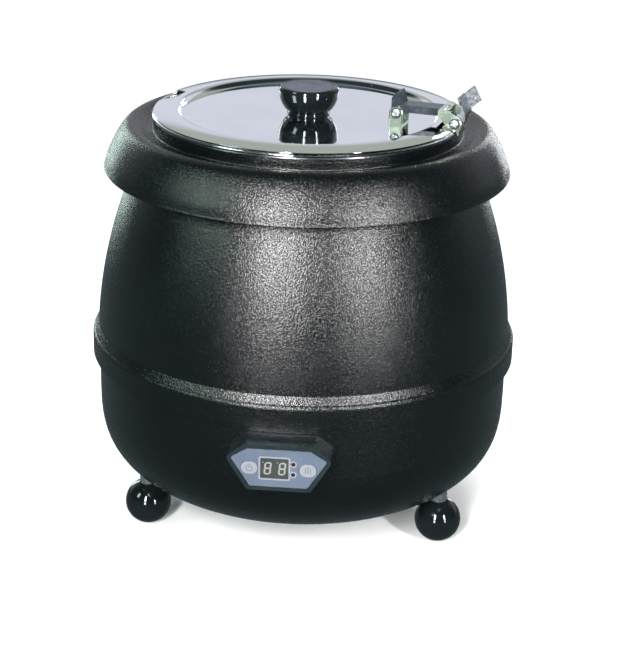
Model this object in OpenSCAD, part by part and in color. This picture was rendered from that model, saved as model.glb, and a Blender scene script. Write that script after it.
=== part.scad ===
// Electric soup kettle: a black coated steel housing on three ball feet, a water pan with a
// heating element, a lift-out soup pot, and a lid that hangs on a double pivot hinge clipped
// to the pot's rim.
// Millimetres. The origin is on the counter under the kettle's axis; +Z is up and the control
// panel faces -Y.

/* [Housing] */
// Radius of the band where the barrel meets the bowl, the widest part
band_r = 178; // [160:1:200]
// Height of the band's lower lip above the counter
band_z = 141; // [130:1:155]
// Height of the band's upright face
band_h = 16; // [10:1:20]
// Step from the band in to the barrel
band_step = 4.2; // [3:0.1:6]
// Radius of curvature of the barrel's side
barrel_arc_r = 385; // [350:5:460]
// Height of the collar's lower edge
collar_z = 299; // [290:1:310]
// How far the collar's lower edge lies inside the band
collar_inset = 11.5; // [-2:0.5:20]
// Thickness of the housing's sheet steel
sheet = 1.2; // [0.8:0.1:2]
// Depth of the bowl's curve below its upright part
bowl_depth = 89; // [70:1:94]
// Exponent of the bowl's curve: 2 is an ellipse, more is squarer
bowl_power = 3.07; // [2.6:0.01:3.6]
// Height of the bowl's flat floor
floor_z = 24; // [22:0.5:30]

/* [Pot and pan] */
// Height of the top of the collar's neck
neck_z = 340.5; // [336:0.5:350]
// Inside radius of the soup pot
pot_r = 118.5; // [110:0.5:122]
// Depth of the soup pot
pot_depth = 232; // [205:1:238]
// Sheet of the pot and the water pan
pot_wall = 0.9; // [0.6:0.1:1.2]
// Depth of the water space below the pot
water_gap = 14; // [8:1:18]
// Radial gap between the pot and the water pan
pan_gap = 2.6; // [2:0.1:4]
// Radius of the rolled bead on the pot's rim
bead_r = 1.3; // [1:0.1:1.8]

/* [Lid] */
// How far the lid reaches out past the pot's wall
lid_over = 7.5; // [3.5:0.5:11.5]
// How far the edge of the lid's flat middle lies inside the pot's wall
lid_flat_inset = 16; // [14.5:0.5:28.5]
// Sheet of the lid
lid_sheet = 1; // [0.8:0.1:1.2]
// Depth of the ladle notch in from the lid's edge
notch_depth = 13.5; // [10:0.5:16]
// Width of the ladle notch at its inner end
notch_w = 24; // [16:1:30]
// Turn of the pot and lid about the kettle's axis, from the kettle's right side
lid_turn = -14; // [-20:1:20]
// Radius of the knob
knob_r = 24.5; // [20:0.5:27]
// Height of the knob
knob_h = 23; // [20:0.5:28]

/* [Hinge] */
// Distance of the lid's pin from the kettle's axis
lid_pin_x = 76.6; // [72:0.2:82]
// Distance of the clip's pin from the kettle's axis
clip_pin_x = 125.8; // [125:0.2:128]
// Height of the lid's pin above the lid's flat middle
lid_pin_up = 10.4; // [9:0.1:12]
// Height of the clip's pin above the pot's bead
clip_pin_up = 6.6; // [6.4:0.1:8]
// Radius of both hinge pins
pin_r = 2.4; // [1.8:0.1:2.8]
// Width of the link arm
arm_w = 16; // [12:0.5:18]
// Sheet of the hinge parts
hinge_sheet = 1.4; // [1:0.1:1.6]

/* [Feet] */
// Radius of a ball foot
foot_r = 19.2; // [16:0.2:22]
// How far each foot's centre lies in from the bowl's side
foot_inset = 31.1; // [22:0.1:43]
// Radius of the flat under each foot
foot_flat_r = 5; // [3:0.5:7]

/* [Control panel] */
// How far the panel's face stands out from the bowl's side
panel_out = 21.9; // [17.4:0.1:32.4]
// Width of the panel at its widest
panel_w = 82; // [76:1:90]
// Height of the panel
panel_h = 38; // [36:0.5:42]
// Height of the panel's middle
panel_z = 116.4; // [112:0.2:120]
// Wall of the panel's box
panel_wall = 2.4; // [2:0.1:3]
// Distance of each button from the panel's middle
button_x = 22.4; // [20:0.2:24]
// Travel of a button
button_travel = 1; // [0.6:0.1:1.5]

/* [Cord inlet] */
// Radius of the hole for the cord
cord_r = 3.6; // [3:0.1:4.2]
// Height of the cord inlet
gland_z = 96; // [90:1:110]

/* [Clearances] */
// Gap under a part that rests on another and lifts off
seat_gap = 0.2; // [0.1:0.05:0.4]
// Gap beside parts that move past each other
side_gap = 0.4; // [0.3:0.05:0.6]
// Radial clearance of a hinge pin
pin_fit = 0.05; // [0.02:0.01:0.1]
// Gap round a button
button_gap = 0.35; // [0.3:0.05:0.5]

/* [Hidden] */
$fn = 96;

steps = 24;                              // segments of each profile curve
black_coat = [0.09, 0.1, 0.11];
gloss_black = [0.03, 0.03, 0.035];
steel = [0.78, 0.79, 0.82];
zinc = [0.7, 0.72, 0.7];
dark_steel = [0.32, 0.36, 0.4];
overlay_grey = [0.55, 0.6, 0.72];

// Housing
bowl_r = band_r - band_step - sheet;     // outside of the bowl where it is upright
bowl_top_z = floor_z - 2.5 + bowl_depth; // where the bowl's curve turns upright
bowl_lip_z = band_z + band_h - 3;        // top edge of the bowl, inside the band
barrel_low_z = band_z + band_h + 10;     // foot of the barrel's curve
barrel_top_z = collar_z + 14;            // flange that carries the collar
neck_r = pot_r + pot_wall + pan_gap + pot_wall + 0.6 + sheet + 1.2;
neck_in_r = neck_r - 2 * sheet;          // inside of the collar's folded neck
shoulder_z = neck_z - 5.5;
collar_r = band_r - collar_inset;
lid_r = pot_r + lid_over;
lid_flat_r = pot_r - lid_flat_inset;
shoulder_r = collar_r - 20.5;

// Pot and pan
pan_top_z = neck_z + pot_wall;
pan_r = pot_r + pot_wall + pan_gap;      // inside radius of the water pan
rim_z = pan_top_z + seat_gap;            // underside of the pot's rim
bead_ring_r = lid_r - 0.3;
bead_top_z = rim_z + 2 * bead_r;
pot_floor_z = rim_z + pot_wall - pot_depth;
pan_floor_z = pot_floor_z - pot_wall - water_gap;
pan_base_z = pan_floor_z - pot_wall;

// Lid
lid_z = bead_top_z + 0.3;                // underside of the lid's hem
lid_hem = 1.5;
lid_flat_z = lid_z - 1.3;                // top of the lid's flat middle
lid_crown_z = lid_z + 2.8;
knob_z = lid_flat_z;
relief_x = pot_r - 7;                    // cut in the lid that the clip stands in
ear_w = 11;
clip_half = 14;                          // half width of the clip's clevis
relief_half = clip_half + 3;

// Hinge, in the turned frame: X runs out along the arm and Y along the pins
lid_pin_z = lid_flat_z + lid_pin_up;
clip_pin_z = bead_top_z + clip_pin_up;
arm_top_z = lid_pin_z + 7;
arm_half = arm_w / 2;
lid_ear_in = arm_half + side_gap;        // inside face of the lid bracket's ears
clevis_in = clip_half - hinge_sheet;     // inside face of the arm clevis's ears
clip_ear_out = clevis_in - side_gap;     // outside face of the clip's ears
clevis_r = 6;

// Feet
foot_circle_r = bowl_r - foot_inset;
foot_z = sqrt(foot_r * foot_r - foot_flat_r * foot_flat_r);
foot_angles = [-150, -30, 90];
foot_top_z = foot_z + foot_r;
foot_bolt_r = 3;
foot_seat_r = 7;

// Heating
plate_z = pan_base_z;                    // top of the heat plate
plate_h = 2;
plate_r = pan_r - 22;
element_ring_r = plate_r - 15;
element_r = 3.6;
element_z = plate_z - plate_h - element_r;
clamp_z = element_z - element_r;
stud_r = 3;

// Control panel
panel_y = bowl_r + panel_out;            // front of the panel's face
panel_in_y = panel_y - panel_wall;       // back of the panel's face
overlay_h = 0.5;
gasket_h = 1.2;
board_y = panel_y - 11;                  // front of the circuit board
board_h = 1.6;
board_w = panel_w - 18;
button_w = 12.8;
button_h = 10.2;
display_x = -3.2;
display_w = 21.4;
display_h = 16.6;
led_x = 11.2;
led_z = 4.3;
led_r = 1.6;
panel_screw_x = 31;
panel_screw_z = panel_z + 9;             // clear of the buttons' flanges
gland_thread_r = 7;
gland_flange_r = 10.5;
gland_end_y = panel_y + overlay_h + 0.9; // the inlet stands out as far behind as the panel in front

// ---------- helper functions and modules ----------

function unit(v) = v / norm(v);
function normal_at(p, i) =
    let (a = p[max(i - 1, 0)], b = p[min(i + 1, len(p) - 1)], d = unit(b - a)) [-d[1], d[0]];
// The path moved sideways by t, to the left of its direction
function beside(p, t) = [for (i = [0 : len(p) - 1]) p[i] + t * normal_at(p, i)];
function backwards(p) = [for (i = [len(p) - 1 : -1 : 0]) p[i]];
// Points of an arc from angle a0 to a1
function arc(c, r, a0, a1, n = 8) =
    [for (i = [0 : n]) let (a = a0 + (a1 - a0) * i / n) c + r * [cos(a), sin(a)]];
// A polygon with every corner rounded to radius r
function rounded(p, r, n = 6) = [for (i = [0 : len(p) - 1])
    let (
        a = unit(p[(i + len(p) - 1) % len(p)] - p[i]),
        b = unit(p[(i + 1) % len(p)] - p[i]),
        half = acos(a * b) / 2,
        c = p[i] + unit(a + b) * r / sin(half),
        from = p[i] + a * r / tan(half) - c,
        to = p[i] + b * r / tan(half) - c,
        start = atan2(from[1], from[0]),
        turn = (atan2(to[1], to[0]) - start + 540) % 360 - 180
    )
    for (k = [0 : n]) c + r * [cos(start + turn * k / n), sin(start + turn * k / n)]];

// Sheet of thickness t to the left of the path, turned about the kettle's axis
module spun_sheet(path, t) {
    rotate_extrude() polygon(concat(path, backwards(beside(path, t))));
}

module ring(r_in, r_out, z, h) {
    translate([0, 0, z]) difference() {
        cylinder(r = r_out, h = h);
        translate([0, 0, -1]) cylinder(r = r_in, h = h + 2);
    }
}

module disc(r, z, h) {
    translate([0, 0, z]) cylinder(r = r, h = h);
}

// A pin along Y between two places, at x and z
module pin_y(x, z, r, y0, y1) {
    translate([x, y1, z]) rotate([90, 0, 0]) cylinder(r = r, h = y1 - y0);
}

// A plate in the XZ plane between two places along Y
module plate_y(points, y0, y1) {
    translate([0, y1, 0]) rotate([90, 0, 0]) linear_extrude(y1 - y0) polygon(points);
}

// Extrudes a front view, drawn in X and Z, from y0 back to y1
module front_view(y0, y1) {
    translate([0, y1, 0]) rotate([90, 0, 0]) linear_extrude(y1 - y0) children();
}

module lozenge(w, h) {
    for (s = [-1, 1]) translate([s * (w - h) / 2, 0]) circle(d = h);
    square([w - h, h], center = true);
}

module on_lid() {
    rotate([0, 0, lid_turn]) children();
}

// ---------- housing ----------

function barrel_x(z) =
    band_r - band_step - barrel_arc_r + sqrt(pow(barrel_arc_r, 2) - pow(z - band_z - 4, 2));

// From the flange at the top down to the band's lip
barrel_path = concat(
    [[neck_in_r, barrel_top_z], [barrel_x(barrel_top_z) - 3, barrel_top_z]],
    [for (i = [1 : steps]) let (z = barrel_top_z + (barrel_low_z - barrel_top_z) * i / steps)
        [barrel_x(z), z]],
    arc([band_r - 5, band_z + band_h], 5, 50, 0, 4),
    [[band_r, band_z]]);

module barrel_shell() color(black_coat) {
    spun_sheet(barrel_path, -sheet);
}

function bowl_x(z) = z >= bowl_top_z ? bowl_r
    : bowl_r * pow(1 - pow((bowl_top_z - z) / bowl_depth, bowl_power), 1 / bowl_power);
function bowl_z(r) = max(floor_z,
    bowl_top_z - bowl_depth * pow(1 - pow(r / bowl_r, bowl_power), 1 / bowl_power));

floor_r = bowl_x(floor_z);
cover_hole_r = 52;
cover_r = cover_hole_r + 10;

// From the upper edge down and in along the floor
bowl_curve = concat(
    [[bowl_r, bowl_lip_z]],
    [for (i = [0 : steps]) let (a = 90 * (1 - i / steps),
        x = floor_r + (bowl_r - floor_r) * sin(a)) [x, bowl_z(x)]],
    [[0, floor_z]]);
// A flange round the upper edge meets the inside of the band
bowl_path = concat([[band_r - sheet, bowl_lip_z]], bowl_curve);

// The room that the bowl takes up, grown outward
module bowl_solid(grow) {
    rotate_extrude() polygon(concat(beside(bowl_curve, grow), [[0, bowl_lip_z]]));
}

module at_feet() {
    for (a = foot_angles) rotate([0, 0, a]) translate([foot_circle_r, 0, 0]) children();
}

module lower_bowl() color(black_coat) {
    difference() {
        spun_sheet(bowl_path, -sheet);
        disc(cover_hole_r, floor_z - 1, sheet + 2);
        cover_screw_places() disc(1.6, floor_z - 1, sheet + 2);
        at_feet() disc(foot_bolt_r + 0.2, 0, bowl_top_z);
        translate([0, -bowl_r + 40, 0]) panel_window();
        pin_y(0, gland_z, gland_thread_r + 0.2, bowl_r - 10, bowl_r + 10);
        for (s = [-1, 1]) pin_y(s * panel_screw_x, panel_screw_z, 1.7, -bowl_r - 5, -bowl_r + 40);
    }
}

module panel_window() {
    front_view(-60, 0) translate([0, panel_z]) square([2 * panel_screw_x - 14, panel_h - 14], center = true);
}

// Collar from its lower edge over the shoulder and up the neck, then folded back inside
collar_path = concat(
    [[collar_r - 1, collar_z], [collar_r, collar_z + 1.2]],
    [for (i = [1 : 6]) let (t = i / 6)
        [collar_r - (collar_r - shoulder_r - 6.5) * pow(t, 1.35), collar_z + 1.2 + (shoulder_z - collar_z - 5.7) * t]],
    arc([shoulder_r - 1.5, shoulder_z - 9.5], 9.5, 28, 88, 6),
    arc([neck_r + 7, shoulder_z + 6.4], 6.4, 270, 190, 6),
    [[neck_r, neck_z - 0.6], [neck_r - 0.6, neck_z]]);

module top_collar() color(black_coat) {
    spun_sheet(collar_path, sheet);
    ring(neck_in_r, neck_r - 0.6, neck_z - sheet, sheet);
    ring(neck_in_r, neck_in_r + sheet, barrel_top_z, neck_z - barrel_top_z);
}

module cover_screw_places() {
    for (a = [45 : 90 : 315]) rotate([0, 0, a]) translate([cover_hole_r + 5, 0, 0]) children();
}

module base_cover() color(zinc) {
    difference() {
        disc(cover_r, floor_z - sheet, sheet);
        cover_screw_places() disc(1.6, floor_z - sheet - 1, sheet + 2);
        // vent slots
        for (a = [0 : 30 : 330]) rotate([0, 0, a]) translate([34, -1.5, floor_z - sheet - 1])
            cube([12, 3, sheet + 2]);
    }
}

module cover_screws() color(zinc) {
    cover_screw_places() {
        disc(1.5, floor_z - sheet, 8);
        difference() {
            disc(3, floor_z - sheet - 1.8, 1.8);
            translate([-2, -0.4, floor_z - sheet - 2]) cube([4, 0.8, 1]);
        }
    }
}

// ---------- feet ----------

module foot(angle) color(gloss_black) {
    rotate([0, 0, angle]) translate([foot_circle_r, 0, 0]) difference() {
        translate([0, 0, foot_z]) sphere(r = foot_r);
        translate([-30, -30, -30]) cube([60, 60, 30]);
        disc(foot_bolt_r, foot_z, foot_r + 1);
    }
}

module foot_front_left() foot(foot_angles[0]);
module foot_front_right() foot(foot_angles[1]);
module foot_back() foot(foot_angles[2]);

foot_wall_z = bowl_z(foot_circle_r + foot_seat_r);
backing_z = foot_wall_z + 6;

module foot_bolts() color(zinc) {
    at_feet() disc(foot_bolt_r, foot_z, backing_z + 9 - foot_z);
}

module foot_spacers() color(steel) {
    difference() {
        at_feet() difference() {
            disc(foot_seat_r, foot_top_z - 1.6, foot_wall_z - foot_top_z + 1.6);
            disc(foot_bolt_r, 0, 100);
            translate([0, 0, foot_z]) sphere(r = foot_r);
        }
        bowl_solid(0);
    }
}

module foot_backing_washers() color(zinc) {
    intersection() {
        at_feet() ring(foot_bolt_r, foot_seat_r, foot_top_z, backing_z - foot_top_z);
        bowl_solid(-sheet);
    }
}

module foot_nuts() color(zinc) {
    at_feet() translate([0, 0, backing_z]) difference() {
        cylinder(r = 5.8, h = 5, $fn = 6);
        translate([0, 0, -1]) cylinder(r = foot_bolt_r, h = 7);
    }
}

// ---------- water pan and heating ----------

// Inside of a round vessel, from its rim down the wall and in along its floor
function vessel(flange_r, top_z, r, floor_z, corner) = concat(
    [[flange_r, top_z], [r, top_z]],
    arc([r - corner, floor_z + corner], corner, 0, -90, 6),
    [[0, floor_z]]);

module water_pan() color(steel) {
    spun_sheet(vessel(neck_r - 0.4, pan_top_z, pan_r, pan_floor_z, 10), pot_wall);
}

module heat_plate() color([0.75, 0.76, 0.77]) {
    disc(plate_r, plate_z - plate_h, plate_h);
    disc(stud_r, clamp_z - 16, plate_z - plate_h - clamp_z + 16);
}

module heating_element() color([0.45, 0.42, 0.4]) {
    gap_a = 18;
    translate([0, 0, element_z]) {
        rotate([0, 0, gap_a]) rotate_extrude(angle = 360 - 2 * gap_a)
            translate([element_ring_r, 0]) circle(r = element_r);
        for (s = [-1, 1]) rotate([0, 0, s * gap_a]) translate([element_ring_r, 0, 0]) {
            sphere(r = element_r);
            translate([0, 0, -22]) cylinder(r = element_r, h = 22);
            translate([0, 0, -30]) cylinder(r = 1.5, h = 9);
        }
    }
}

module element_clamp() color(zinc) {
    difference() {
        union() {
            disc(16, clamp_z - 1.5, 1.5);
            for (a = [60 : 120 : 300]) rotate([0, 0, a]) translate([0, -6, clamp_z - 1.5])
                cube([element_ring_r + 6, 12, 1.5]);
        }
        disc(stud_r, clamp_z - 3, 6);
    }
}

module clamp_nut() color(zinc) {
    translate([0, 0, clamp_z - 6.5]) difference() {
        cylinder(r = 5.8, h = 5, $fn = 6);
        translate([0, 0, -1]) cylinder(r = stud_r, h = 7);
    }
}

module thermal_cutout() color([0.85, 0.83, 0.76]) {
    translate([45, 0, 0]) {
        disc(9, plate_z - plate_h - 8, 8);
        for (s = [-1, 1]) translate([s * 5 - 0.4, -3, plate_z - plate_h - 16]) cube([0.8, 6, 8]);
    }
}

probe_r = 3;
probe_z = plate_z - plate_h - probe_r;

module temperature_probe() color(steel) {
    pin_y(-45, probe_z, probe_r, -16, 14);
}

module probe_clip() color(zinc) {
    difference() {
        union() {
            pin_y(-45, probe_z, probe_r + 1, -4, 4);
            translate([-55, -4, plate_z - plate_h - 1]) cube([20, 8, 1]);
        }
        pin_y(-45, probe_z, probe_r, -5, 5);
        // open above the probe, which lies against the plate
        translate([-45 - probe_r, -5, probe_z]) cube([2 * probe_r, 10, 2 * probe_r]);
        translate([-60, -5, plate_z - plate_h]) cube([30, 10, 5]);
    }
}

block_h = 16;

module terminal_block() color([0.88, 0.87, 0.84]) {
    difference() {
        translate([-20, -11, floor_z]) cube([40, 22, block_h]);
        for (x = [-12, 0, 12]) translate([x, 0, 0]) {
            disc(3, floor_z + block_h - 6, 7);
            pin_y(0, floor_z + 6, 2, -12, 12);
        }
    }
}

module earth_screw() color([0.8, 0.7, 0.35]) {
    translate([0, 27, 0]) {
        disc(2, floor_z, 8);
        disc(4, floor_z, 1.5);
    }
}

// A run of insulated wire through a list of places, with round ends
module wire(points, r) {
    for (i = [0 : len(points) - 2]) hull() {
        translate(points[i]) sphere(r = r, $fn = 10);
        translate(points[i + 1]) sphere(r = r, $fn = 10);
    }
}

wire_r = 1.3;
block_top_z = floor_z + block_h;
lead_z = element_z - 30;

module internal_leads() color([0.75, 0.3, 0.2]) {
    socket_z = block_top_z - 6 + wire_r;
    ex = element_ring_r * cos(18);
    // from the terminal block to the ends of the element
    for (s = [-1, 1]) {
        ey = s * element_ring_r * sin(18);
        wire([[s * 12, 0, socket_z], [s * 12, 0, block_top_z + 3 + s], [ex, ey, lead_z - 8],
            [ex, ey, lead_z - wire_r]], wire_r);
    }
    // from the cord inlet to the terminal block
    wire([[0, bowl_r - 24, gland_z - 6], [0, bowl_r - 34, gland_z - 8], [0, 60, block_top_z + 14],
        [0, 0, block_top_z + 8], [0, 0, socket_z]], wire_r);
    // from the terminal block to the relay on the circuit board
    wire([[-12, -10, floor_z + 6], [-12, -20, floor_z + 6], [-12, -110, floor_z + 20],
        [-12, -board_y + 34, panel_z - 8], [-12, -board_y + board_h + relay_depth + wire_r, panel_z - 8]],
        wire_r);
}

module cord_gland() color(gloss_black) {
    difference() {
        union() {
            pin_y(0, gland_z, gland_thread_r, bowl_r - 16, bowl_r + 1);
            difference() {
                pin_y(0, gland_z, gland_flange_r, bowl_r - 3, bowl_r + 5);
                bowl_solid(0);
            }
            // the sleeve that keeps the cord from bending sharply
            translate([0, bowl_r + 4, gland_z]) rotate([-90, 0, 0])
                cylinder(r1 = 8, r2 = 5.6, h = gland_end_y - bowl_r - 4);
        }
        pin_y(0, gland_z, cord_r, bowl_r - 20, gland_end_y + 1);
    }
}

module gland_nut() color(gloss_black) {
    translate([0, bowl_r - 9, gland_z]) rotate([90, 0, 0]) difference() {
        cylinder(r = 10.5, h = 5, $fn = 6);
        translate([0, 0, -1]) cylinder(r = gland_thread_r, h = 7);
    }
}

// ---------- control panel ----------

// The panel's six-sided outline, drawn in by a margin
function panel_outline(m) = rounded([
    [-panel_w / 2 + 1.15 * m, 0.2 * panel_h], [-0.3 * panel_w + 0.7 * m, -panel_h / 2 + m],
    [0.3 * panel_w - 0.7 * m, -panel_h / 2 + m], [panel_w / 2 - 1.15 * m, 0.2 * panel_h],
    [0.325 * panel_w - 0.6 * m, panel_h / 2 - m], [-0.325 * panel_w + 0.6 * m, panel_h / 2 - m]],
    max(4 - 0.7 * m, 1));

module panel_shape(y0, y1, m) {
    front_view(y0, y1) translate([0, panel_z]) polygon(panel_outline(m));
}

// Holes through the panel's face and overlay
module face_holes(y0, y1) {
    front_view(y0, y1) {
        for (s = [-1, 1]) translate([s * button_x, panel_z])
            lozenge(button_w + 2 * button_gap, button_h + 2 * button_gap);
        translate([display_x, panel_z]) square([display_w, display_h], center = true);
        for (s = [-1, 1]) translate([led_x, panel_z + s * led_z]) circle(r = led_r);
    }
}

screw_r = 1.5;
screw_head_r = 2.8;
screw_head_y = -sqrt(pow(bowl_r - sheet, 2) - pow(panel_screw_x + screw_head_r, 2));

module panel_box() color(gloss_black) {
    difference() {
        union() {
            difference() {
                panel_shape(-panel_y, -bowl_r + 30, 0);
                panel_shape(-panel_in_y, -bowl_r + 31, panel_wall);
            }
            for (s = [-1, 1]) {
                pin_y(s * panel_screw_x, panel_screw_z, 4.2, -panel_in_y - 0.5, -board_y);
                pin_y(s * panel_screw_x, panel_screw_z, 3, -board_y - 0.5, -bowl_r + 20);
            }
        }
        bowl_solid(gasket_h);
        face_holes(-panel_y - 1, -panel_in_y + 1);
        for (s = [-1, 1]) pin_y(s * panel_screw_x, panel_screw_z, screw_r, -panel_in_y + 1, -bowl_r + 40);
    }
}

module panel_gasket() color([0.1, 0.1, 0.1]) {
    difference() {
        intersection() {
            difference() {
                panel_shape(-panel_y + 4, -bowl_r + 30, 0);
                panel_shape(-panel_y + 3, -bowl_r + 31, panel_wall);
            }
            bowl_solid(gasket_h);
        }
        bowl_solid(0);
    }
}

module panel_screws() color(zinc) {
    for (s = [-1, 1]) {
        pin_y(s * panel_screw_x, panel_screw_z, screw_r, -panel_in_y + 4, screw_head_y);
        pin_y(s * panel_screw_x, panel_screw_z, screw_head_r, screw_head_y, screw_head_y + 2);
    }
}

module panel_overlay() color(overlay_grey) {
    difference() {
        panel_shape(-panel_y - overlay_h, -panel_y, 3.6);
        face_holes(-panel_y - 2, -panel_y + 1);
    }
}

module control_board() color([0.1, 0.35, 0.15]) {
    difference() {
        panel_shape(-board_y, -board_y + board_h, panel_wall + 0.8);
        for (s = [-1, 1]) pin_y(s * panel_screw_x, panel_screw_z, 3.1, -board_y - 1, -board_y + 3);
    }
}

switch_h = 4;
plunger_h = 1.4;

module tact_switches() color([0.15, 0.15, 0.15]) {
    for (s = [-1, 1]) translate([s * button_x, -board_y, panel_z]) {
        translate([-3, -switch_h, -3]) cube([6, switch_h, 6]);
        pin_y(0, 0, 1.75, -switch_h - plunger_h, -switch_h + 0.5);
    }
}

relay_x = -12;
relay_depth = 14;

module power_relay() color([0.15, 0.3, 0.6]) {
    translate([relay_x - 8, -board_y + board_h, panel_z - 10]) cube([16, relay_depth, 14]);
}

lens_h = 0.6;
digit_h = 0.3;
display_y = panel_y + overlay_h - lens_h - digit_h;

module display_box(w_less, y0, y1) {
    front_view(y0, y1) translate([display_x, panel_z])
        square([display_w - w_less, display_h - w_less], center = true);
}

module display_module() color([0.2, 0.21, 0.23]) {
    display_box(0.4, -display_y, -board_y);
}

// One digit with all its bars, drawn in the panel's plane
module digit(w, h, bar) {
    for (z = [-h / 2, 0, h / 2]) translate([0, z]) square([w - 1.5 * bar, bar], center = true);
    for (s = [-1, 1], t = [-1, 1]) translate([s * w / 2, t * h / 4])
        square([bar, h / 2 - 1.5 * bar], center = true);
}

module display_digits() color([0.85, 0.9, 0.9]) {
    front_view(-display_y - digit_h, -display_y)
        for (s = [-1, 1]) translate([display_x + s * 5, panel_z]) digit(5.4, 9.6, 1.1);
}

module display_window() color([0.6, 0.65, 0.68, 0.5]) {
    display_box(0.1, -panel_y - overlay_h, -display_y - digit_h);
}

module led(z) {
    pin_y(led_x, z, led_r - 0.05, -panel_y - overlay_h - 0.2, -board_y);
}

module heat_led() color([0.5, 0.1, 0.1]) led(panel_z + led_z);
module keep_led() color([0.15, 0.2, 0.15]) led(panel_z - led_z);

button_out = 0.9;
flange_y = panel_in_y - 0.3;
stem_y = board_y + switch_h + plunger_h + button_travel + 0.2;

module button(x) color([0.92, 0.93, 0.95]) {
    front_view(-panel_y - overlay_h - button_out, -flange_y + 0.5)
        translate([x, panel_z]) lozenge(button_w, button_h);
    front_view(-flange_y, -flange_y + 1) translate([x, panel_z]) lozenge(button_w + 1.6, button_h + 1.6);
    pin_y(x, panel_z, 2, -flange_y, -stem_y);
}

module power_button() button(-button_x);
module set_button() button(button_x);

// ---------- soup pot ----------

module soup_pot() color(steel) {
    spun_sheet(vessel(bead_ring_r, rim_z + pot_wall, pot_r, pot_floor_z, 14), pot_wall);
    rotate_extrude() translate([bead_ring_r, rim_z + bead_r]) circle(r = bead_r, $fn = 32);
}

// ---------- hinge: X runs out along the arm, Y along the pins ----------

// The same plate at both sides, between two distances from the middle
module both_sides(points, y0, y1) {
    plate_y(points, y0, y1);
    plate_y(points, -y1, -y0);
}

module cross_plate(points, half) {
    plate_y(points, -half, half);
}

eye_r = pin_r + 1.3;                     // sunk ring round each visible pin end
eye_h = 0.5;
pin_over = 0.3;                          // how far a pin stands out of its eye

module eyes(x, z, outside) {
    for (s = [-1, 1]) pin_y(x, z, eye_r, s * outside - eye_h, s * outside + eye_h);
}

clip_base_z = bead_top_z + seat_gap;
clip_base_h = 1.2;
finger_z = rim_z - 8;
clip_in_x = pot_r - 1.2;                 // inner finger, against the pot's wall
clip_ear_r = pin_r + 2.2;

module clip_bracket() color(steel) on_lid() {
    difference() {
        union() {
            both_sides(concat(
                [[clip_in_x, clip_base_z]],
                [[clip_pin_x + clip_ear_r - 1, clip_base_z]],
                arc([clip_pin_x, clip_pin_z], clip_ear_r, -20, 130),
                [[clip_in_x, clip_base_z + 3]]),
                clip_ear_out - hinge_sheet, clip_ear_out);
            translate([clip_in_x, -clip_ear_out, clip_base_z])
                cube([clip_pin_x - clip_in_x, 2 * clip_ear_out, clip_base_h]);
            translate([clip_in_x - hinge_sheet, -clip_ear_out, finger_z])
                cube([hinge_sheet, 2 * clip_ear_out, clip_base_z + 3 - finger_z]);
        }
        pin_y(clip_pin_x, clip_pin_z, pin_r, -30, 30);
    }
}

lever_out = clip_ear_out - hinge_sheet - side_gap;
lever_in = lever_out - hinge_sheet;
thumb_in_x = clip_pin_x + 0.4;           // top of the thumb plate
thumb_out_x = clip_pin_x + 6;            // foot of the thumb plate
thumb_low_z = clip_pin_z + 7.6;
thumb_top_z = clip_pin_z + 20;
jaw_x = bead_ring_r + bead_r + 0.3;      // outer finger, beside the bead

// Lever with the thumb tab above its pin and the outer finger below it
module clip_finger() color(steel) on_lid() {
    difference() {
        union() {
            both_sides(concat(
                [[jaw_x, clip_base_z - 2]], [[jaw_x + hinge_sheet, clip_base_z - 2]],
                [[thumb_out_x + hinge_sheet, thumb_low_z - 4], [thumb_out_x + hinge_sheet, thumb_low_z]],
                [[thumb_out_x - 1.5, thumb_low_z + 3]],
                arc([clip_pin_x, clip_pin_z], clip_ear_r, 110, 300)),
                lever_in, lever_out);
            // thumb plate, leaning in over the pin
            cross_plate([[thumb_out_x, thumb_low_z], [thumb_out_x + hinge_sheet, thumb_low_z],
                [thumb_in_x + hinge_sheet, thumb_top_z], [thumb_in_x, thumb_top_z]], lever_out);
            // wing bent outward from the thumb plate
            difference() {
                plate_y(rounded([[thumb_out_x + 0.3, thumb_low_z], [thumb_out_x + 9, thumb_low_z + 8],
                    [thumb_in_x + 8.5, thumb_top_z + 7], [thumb_in_x + 0.5, thumb_top_z]], 0.8, 3),
                    lever_out - hinge_sheet, lever_out);
                pin_y(thumb_out_x + 4, thumb_low_z + 9, 0.9, 0, 30);
            }
            // outer finger
            translate([jaw_x, -lever_out, rim_z - 0.5])
                cube([hinge_sheet, 2 * lever_out, clip_base_z + 3 - rim_z]);
        }
        pin_y(clip_pin_x, clip_pin_z, pin_r + pin_fit, -30, 30);
    }
}

spring_wire_r = 0.6;
spring_turns = 7;

// Torsion spring on the clip's pin: its coils as rings, side by side
module clip_spring() color(dark_steel) on_lid() {
    for (i = [0 : spring_turns - 1])
        translate([clip_pin_x, (i - (spring_turns - 1) / 2) * 2.4 * spring_wire_r, clip_pin_z])
        rotate([90, 0, 0]) rotate_extrude() translate([pin_r + 0.2 + spring_wire_r, 0])
            circle(r = spring_wire_r, $fn = 24);
}

module clip_pin() color(steel) on_lid() {
    pin_y(clip_pin_x, clip_pin_z, pin_r, -clip_half + eye_h - pin_over, clip_half - eye_h + pin_over);
}

channel_z = arm_top_z - 6;               // lower edge of the arm's flanges
arm_end_x = clip_pin_x - 13.8;           // where the arm steps down under the clevis
web_end_x = clip_pin_x - 6.8;
lug_h = 9.5;
lug_x = lid_pin_x + 4.6;
arm_back_x = lid_pin_x - 4.4;

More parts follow.
